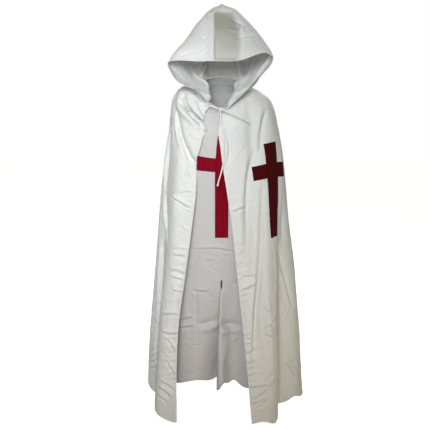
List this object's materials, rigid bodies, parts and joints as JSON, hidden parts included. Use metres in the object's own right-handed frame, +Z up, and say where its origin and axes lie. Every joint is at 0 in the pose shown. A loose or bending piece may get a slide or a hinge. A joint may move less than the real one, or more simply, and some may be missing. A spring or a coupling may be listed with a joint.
{
  "type": "medieval surcoat with a hooded mantle",
  "caption": "Hollow, worn crusader costume: a hooded mantle tied at the neck over a sleeveless surcoat with a slit hem, each with a plain Latin cross.",
  "frame": {"origin": "middle of the wearer's neck, at the height where the tops of the shoulders meet it", "axes": "+Z up, the front of the dress towards -Y, and the wearer's left towards +X"},
  "size_m": [0.7462, 0.6039, 1.8182],
  "materials": {
    "mantle_cotton": "plain-woven white cotton, matt, softly creased",
    "surcoat_cotton": "plain-woven white cotton, matt, with packing creases",
    "cross_cotton": "crimson cotton applique, matt",
    "tie_cord": "white cotton cord, braided"
  },
  "bodies": {
    "root": {"mantle_front_right": "mantle_cotton", "mantle_front_left": "mantle_cotton", "mantle_back_right": "mantle_cotton", "mantle_back_left": "mantle_cotton", "hood_right": "mantle_cotton", "hood_left": "mantle_cotton", "surcoat_front": "surcoat_cotton", "surcoat_back": "surcoat_cotton", "mantle_cross": "cross_cotton", "surcoat_cross": "cross_cotton", "tie_knot": "tie_cord", "tie_lead_right": "tie_cord", "tie_lead_left": "tie_cord", "tie_end_long": "tie_cord", "tie_end_short": "tie_cord"}
  },
  "joints": []
}
